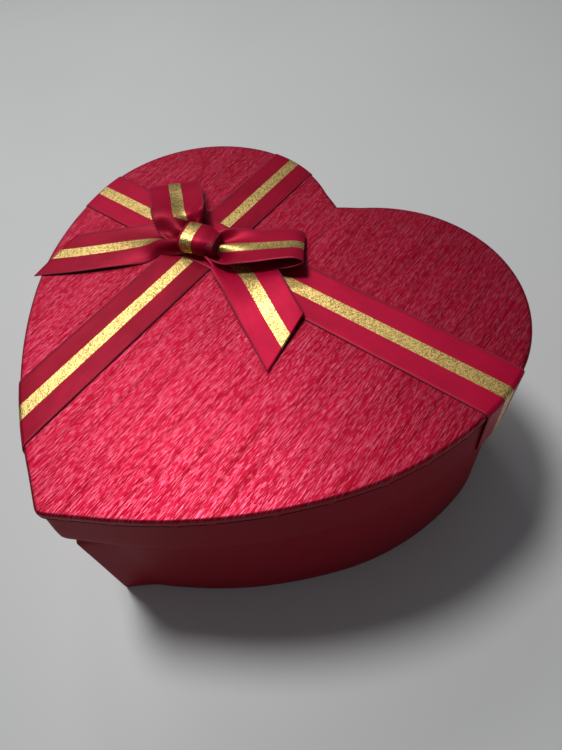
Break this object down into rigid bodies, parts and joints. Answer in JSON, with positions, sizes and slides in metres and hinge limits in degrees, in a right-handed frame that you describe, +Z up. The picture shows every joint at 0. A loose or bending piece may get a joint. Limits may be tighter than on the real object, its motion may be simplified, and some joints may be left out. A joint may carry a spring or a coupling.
{
  "type": "gift box",
  "caption": "Heart-shaped rigid cardboard gift box with a lift-off lid, wrapped in red and maroon paper, with crossing gold-striped satin ribbons and a bow on the lid.",
  "frame": {"origin": "on the table, under the middle of the heart outline's width and length", "axes": "+Z up, -Y towards the heart's tip, +Y towards its cleft, +X to the right seen from the tip"},
  "size_m": [0.22, 0.199, 0.1157],
  "materials": {
    "greyboard": "plain greyboard",
    "crinkled_red_paper": "metallic, crinkled in fine streaks",
    "maroon_paper": "smooth, slight sheen",
    "lining_paper": "matte",
    "gummed_tape": "matte",
    "satin_ribbon": "satin",
    "gold_foil": "metallised gold film",
    "hot_melt_glue": "translucent"
  },
  "bodies": {
    "base": {"base_underside_sheet": "maroon_paper", "base_floor_board": "greyboard", "base_wall_board": "greyboard", "base_seam_tape": "gummed_tape", "base_wall_wrap": "maroon_paper", "base_wall_lining": "lining_paper", "base_floor_lining": "lining_paper"},
    "lid": {"lid_top_wrap": "crinkled_red_paper", "lid_top_board": "greyboard", "lid_rim_board": "greyboard", "lid_seam_tape": "gummed_tape", "lid_rim_wrap": "maroon_paper", "lid_rim_lining": "lining_paper", "lid_ceiling_lining": "lining_paper", "lengthwise_ribbon": "satin_ribbon", "lengthwise_ribbon_stripe": "gold_foil", "cross_ribbon": "satin_ribbon", "cross_ribbon_stripe": "gold_foil", "bow_glue_dab": "hot_melt_glue", "bow_gather": "satin_ribbon", "bow_knot_band": "satin_ribbon", "bow_knot_band_stripe": "gold_foil", "bow_right_loop": "satin_ribbon", "bow_right_loop_stripe": "gold_foil", "bow_back_loop": "satin_ribbon", "bow_back_loop_stripe": "gold_foil", "bow_left_tail": "satin_ribbon", "bow_left_tail_stripe": "gold_foil", "bow_front_tail": "satin_ribbon", "bow_front_tail_stripe": "gold_foil"}
  },
  "joints": [
    {"name": "lid_lift", "type": "slide", "parent": "base", "child": "lid", "axis": [0, 0, 1], "range_m": [0, 0.12]}
  ]
}
